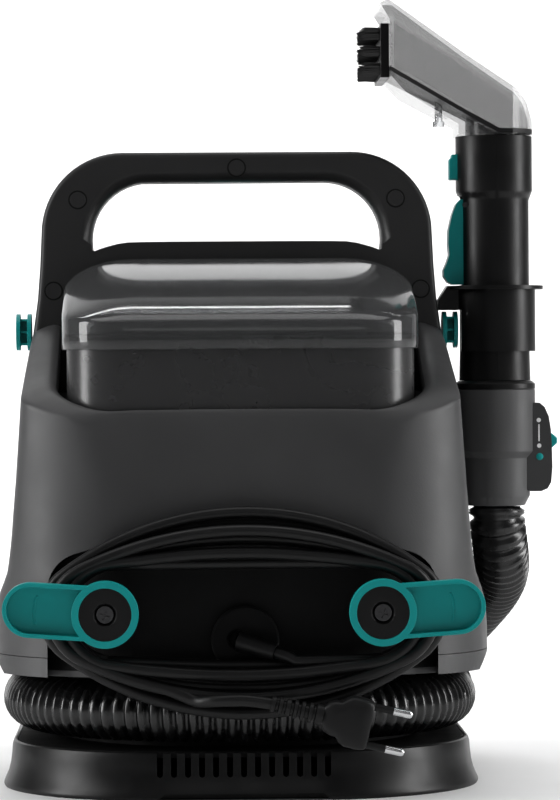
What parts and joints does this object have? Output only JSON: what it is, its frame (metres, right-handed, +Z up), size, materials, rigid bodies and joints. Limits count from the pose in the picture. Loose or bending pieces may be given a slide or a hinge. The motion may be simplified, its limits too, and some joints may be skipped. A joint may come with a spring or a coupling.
{
  "type": "portable spot cleaner",
  "caption": "Portable carpet and upholstery spot cleaner with lift-out tanks, carry handle, wrapped hose, spray-suction hand tool and a mains cord wound on turning hooks.",
  "frame": {"origin": "middle of the flat underside of the base, on the floor", "axes": "+Z up, -Y towards the face with the cord hooks, +X towards the parked hand tool"},
  "size_m": [0.2972, 0.3075, 0.4084],
  "materials": {
    "charcoal_plastic": "satin moulded ABS, fine grain",
    "black_plastic": "satin moulded plastic",
    "teal_plastic": "semi-gloss moulded plastic",
    "smoked_clear": "glossy smoked transparent plastic",
    "clear_plastic": "glossy lightly tinted transparent plastic",
    "black_rubber": "matt flexible PVC or rubber",
    "steel": "plated steel",
    "hose_plastic": "glossy corrugated plastic",
    "float_plastic": "satin moulded plastic",
    "bristle": "stiff nylon bristle"
  },
  "bodies": {
    "housing": {"base_tray": "black_plastic", "rubber_feet": "black_rubber", "base_screws": "steel", "hose_drum": "black_plastic", "lower_shell": "charcoal_plastic", "front_casing": "charcoal_plastic", "rear_casing": "charcoal_plastic", "handle_front": "charcoal_plastic", "handle_rear": "charcoal_plastic", "handle_screw_caps": "black_plastic", "tank_deck": "black_plastic", "cord_panel": "black_plastic", "cord_grommet": "black_plastic", "cord_sleeve": "black_rubber", "hook_posts": "black_plastic", "hook_screws": "steel", "peg_left": "teal_plastic", "peg_right": "teal_plastic", "motor_housing": "charcoal_plastic", "motor": "steel", "pump_body": "black_plastic", "air_duct": "black_plastic", "inlet_duct": "black_plastic", "hose_inlet": "black_plastic", "valve_seat": "black_plastic", "tool_holder": "black_plastic", "hose_tube": "hose_plastic", "cord_tube": "black_rubber", "cord_hank": "black_rubber", "plug_relief": "black_rubber", "plug_body": "black_rubber", "plug_pins": "steel"},
    "hook_left": {"hook_left": "teal_plastic"},
    "hook_right": {"hook_right": "teal_plastic"},
    "recovery_tank": {"recovery_tank": "smoked_clear"},
    "tank_lid": {"tank_lid": "smoked_clear", "lid_seal": "black_rubber"},
    "float": {"recovery_float": "float_plastic"},
    "clean_tank": {"clean_tank": "clear_plastic"},
    "filler_cap": {"filler_cap": "teal_plastic"},
    "outlet_valve": {"outlet_valve": "teal_plastic"},
    "hand_tool": {"wand_shell_left": "black_plastic", "wand_shell_right": "black_plastic", "wand_ring": "black_plastic", "hose_cuff": "charcoal_plastic", "trigger_pin": "steel", "control_housing": "charcoal_plastic"},
    "trigger": {"trigger": "teal_plastic"},
    "nozzle_latch": {"nozzle_latch": "teal_plastic"},
    "nozzle": {"nozzle_shell": "clear_plastic", "nozzle_gasket": "black_rubber", "nozzle_cover": "clear_plastic", "brush_base": "black_plastic", "brush_bristles": "bristle", "spray_tip": "clear_plastic"},
    "control_slider": {"control_slider": "teal_plastic"},
    "impeller": {"impeller": "steel"},
    "pump_plunger": {"pump_plunger": "steel"},
    "power_button": {"power_button": "teal_plastic"}
  },
  "joints": [
    {"name": "hook_left_turn", "type": "hinge", "parent": "housing", "child": "hook_left", "pos_m": [-0.0683, -0.16, 0.0953], "axis": [0, 1, 0], "range_deg": [0, 180]},
    {"name": "hook_right_turn", "type": "hinge", "parent": "housing", "child": "hook_right", "pos_m": [0.0683, -0.16, 0.0953], "axis": [0, -1, 0], "range_deg": [0, 180]},
    {"name": "recovery_tank_lift", "type": "slide", "parent": "housing", "child": "recovery_tank", "axis": [0, 0, 1], "range_m": [0, 0.085]},
    {"name": "lid_lift", "type": "slide", "parent": "recovery_tank", "child": "tank_lid", "axis": [0, 0, 1], "range_m": [0, 0.05]},
    {"name": "float_rise", "type": "slide", "parent": "recovery_tank", "child": "float", "axis": [0, 0, 1], "range_m": [0, 0.075]},
    {"name": "clean_tank_lift", "type": "slide", "parent": "housing", "child": "clean_tank", "axis": [0, 0, 1], "range_m": [0, 0.1]},
    {"name": "filler_cap_turn", "type": "hinge", "parent": "clean_tank", "child": "filler_cap", "pos_m": [0, 0.06, 0.262], "axis": [0, 0, 1], "range_deg": [0, 90]},
    {"name": "outlet_valve_lift", "type": "slide", "parent": "clean_tank", "child": "outlet_valve", "axis": [0, 0, 1], "range_m": [0, 0.003], "stiffness_N_per_m": 60, "springref_m": -0.002},
    {"name": "hand_tool_pull", "type": "slide", "parent": "housing", "child": "hand_tool", "axis": [0, 1, 0], "range_m": [0, 0.06]},
    {"name": "trigger_squeeze", "type": "hinge", "parent": "hand_tool", "child": "trigger", "pos_m": [0.1216, 0.003, 0.3016], "axis": [0, -1, 0], "range_deg": [0, 5], "stiffness_Nm_per_rad": 0.6, "springref_deg": -2.86},
    {"name": "nozzle_latch_press", "type": "slide", "parent": "hand_tool", "child": "nozzle_latch", "axis": [1, 0, 0], "range_m": [0, 0.002], "stiffness_N_per_m": 400, "springref_m": -0.001},
    {"name": "nozzle_pull", "type": "slide", "parent": "hand_tool", "child": "nozzle", "axis": [0, 0, 1], "range_m": [0, 0.04]},
    {"name": "control_slider_shift", "type": "slide", "parent": "hand_tool", "child": "control_slider", "axis": [0, 0, 1], "range_m": [-0.007, 0.006]},
    {"name": "impeller_spin", "type": "hinge", "parent": "housing", "child": "impeller", "pos_m": [-0.035, 0.02, 0.075], "axis": [0, 0, 1], "continuous": true},
    {"name": "pump_stroke", "type": "slide", "parent": "housing", "child": "pump_plunger", "axis": [0, 0, 1], "range_m": [-0.003, 0], "stiffness_N_per_m": 300, "springref_m": 0.002},
    {"name": "power_button_press", "type": "slide", "parent": "housing", "child": "power_button", "axis": [0, -1, 0], "range_m": [0, 0.003], "stiffness_N_per_m": 300, "springref_m": -0.001}
  ]
}
